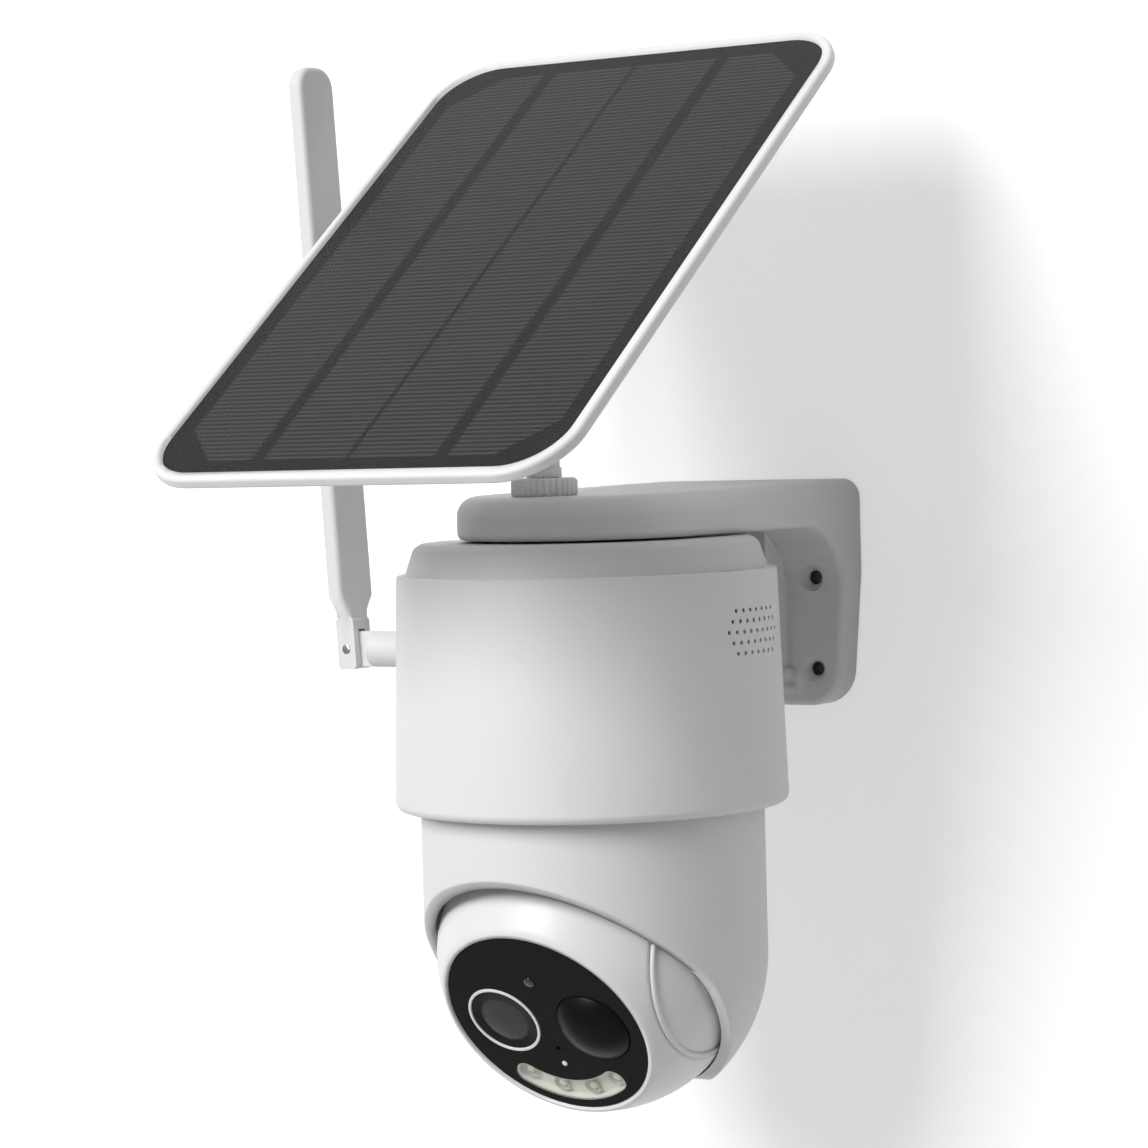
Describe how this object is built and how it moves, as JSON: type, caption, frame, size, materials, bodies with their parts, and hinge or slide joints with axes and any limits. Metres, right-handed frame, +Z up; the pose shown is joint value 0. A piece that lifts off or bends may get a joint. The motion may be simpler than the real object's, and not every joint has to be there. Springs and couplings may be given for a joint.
{
  "type": "security camera",
  "caption": "Solar pan-and-tilt security camera: tilting panel above an L wall bracket, round battery body with antenna, ball eye with lens, motion sensor and lamp in a turning shell.",
  "frame": {"origin": "centre of the bracket's four screw holes, on the back face that lies on the wall", "axes": "+Z up, +Y into the wall, -Y out of the wall where camera and panel face, +X to the right seen from the front"},
  "size_m": [0.133, 0.1678, 0.2449],
  "materials": {
    "white_plastic": "fine matte moulded plastic",
    "antenna_plastic": "matte light grey plastic",
    "black_gloss": "glossy black",
    "black_plastic": "matte black",
    "ring_white": "satin white",
    "lens": "coated glass",
    "diffuser": "frosted clear plastic",
    "pv_glass": "clear matt film",
    "pv_cell": "dark silicon with fine lines",
    "pv_board": "black laminate",
    "rubber": "soft rubber",
    "grey_rubber": "soft light rubber",
    "steel": "zinc plated",
    "brass": "turned brass",
    "motor": "drawn steel can",
    "gear": "natural acetal",
    "pcb": "green circuit board",
    "cell": "sleeved battery can",
    "led": "light emitters"
  },
  "bodies": {
    "bracket": {"wall_bracket": "white_plastic", "threaded_insert": "brass", "top_cap": "white_plastic", "cap_seal": "rubber", "sleeve": "white_plastic", "body_screws": "steel", "battery_tray": "black_plastic", "battery_cells": "cell", "main_board": "pcb", "port_board": "pcb", "speaker": "black_plastic", "pan_motor": "motor", "pan_bush": "gear"},
    "lock_nut_body": {"lock_nut": "white_plastic"},
    "post": {"swivel_post": "white_plastic"},
    "panel": {"panel_frame": "white_plastic", "panel_glass": "pv_glass", "panel_board": "pv_board", "solar_cells": "pv_cell", "panel_back": "white_plastic", "panel_screws": "steel", "tilt_bolt": "steel"},
    "knob": {"clamp_knob": "white_plastic"},
    "button": {"power_button": "white_plastic"},
    "flap": {"port_cover": "grey_rubber"},
    "antenna_stub": {"antenna_base": "antenna_plastic", "antenna_nut": "brass"},
    "antenna": {"antenna_paddle": "antenna_plastic", "antenna_pin": "steel"},
    "pan_drive": {"pan_pinion": "gear"},
    "head": {"head_shell": "white_plastic", "pan_hub": "gear", "pan_gear": "gear", "hub_screws": "steel", "tilt_pin_left": "steel", "tilt_pin_right": "steel", "tilt_gear": "gear"},
    "ball": {"ball_front": "white_plastic", "ball_rear": "white_plastic", "ball_screws": "steel", "side_cap_left": "white_plastic", "side_cap_right": "white_plastic", "tilt_motor": "motor", "face_window": "black_gloss", "window_seal": "rubber", "lens_ring": "ring_white", "lens_barrel": "black_plastic", "lens_glass": "lens", "pir_dome": "black_gloss", "pir_sensor": "steel", "led_window": "diffuser", "leds": "led", "light_sensor": "black_plastic", "status_led": "ring_white", "microphone": "steel", "face_board": "pcb", "sensor_board": "pcb"},
    "tilt_drive": {"tilt_pinion": "gear"}
  },
  "joints": [
    {"name": "panel_swivel", "type": "hinge", "parent": "bracket", "child": "post", "pos_m": [0, -0.09, 0.0332], "axis": [0, 0, 1], "range_deg": [-40, 15]},
    {"name": "panel_tilt", "type": "hinge", "parent": "post", "child": "panel", "pos_m": [0, -0.09, 0.0688], "axis": [1, 0, 0], "range_deg": [-37, 37]},
    {"name": "lock_nut_turn", "type": "hinge", "parent": "bracket", "child": "lock_nut_body", "pos_m": [0, -0.09, 0.0352], "axis": [0, 0, 1], "range_deg": [0, 360]},
    {"name": "clamp_knob_turn", "type": "hinge", "parent": "panel", "child": "knob", "pos_m": [0, -0.09, 0.0688], "axis": [1, 0, 0], "range_deg": [0, 360]},
    {"name": "antenna_swivel", "type": "hinge", "parent": "bracket", "child": "antenna_stub", "pos_m": [-0.06726, -0.074, -0.0027], "axis": [1, 0, 0], "range_deg": [-28, 120]},
    {"name": "antenna_fold", "type": "hinge", "parent": "antenna_stub", "child": "antenna", "pos_m": [-0.06726, -0.074, -0.0027], "axis": [0, -1, 0], "range_deg": [-3.5, 86.5]},
    {"name": "head_pan", "type": "hinge", "parent": "bracket", "child": "head", "pos_m": [0, -0.074, -0.0714], "axis": [0, 0, 1], "range_deg": [-170, 170]},
    {"name": "pan_pinion_spin", "type": "hinge", "parent": "bracket", "child": "pan_drive", "pos_m": [-0.0295, -0.074, -0.024], "axis": [0, 0, 1], "range_deg": [-550, 550]},
    {"name": "ball_tilt", "type": "hinge", "parent": "head", "child": "ball", "pos_m": [0, -0.074, -0.0714], "axis": [1, 0, 0], "range_deg": [-33, 57]},
    {"name": "tilt_pinion_spin", "type": "hinge", "parent": "ball", "child": "tilt_drive", "pos_m": [0, -0.06158, -0.06334], "axis": [1, 0, 0], "range_deg": [-125, 125]},
    {"name": "power_button_press", "type": "slide", "parent": "bracket", "child": "button", "axis": [0, -1, 0], "range_m": [0, 0.0006], "stiffness_N_per_m": 1500},
    {"name": "port_cover_swing", "type": "hinge", "parent": "bracket", "child": "flap", "pos_m": [0, -0.0304, 0.005], "axis": [1, 0, 0], "range_deg": [0, 100]}
  ],
  "couplings": [
    {"joint": "pan_pinion_spin", "follows": "head_pan", "ratio": -3.2143},
    {"joint": "tilt_pinion_spin", "follows": "ball_tilt", "ratio": 2.0833}
  ]
}
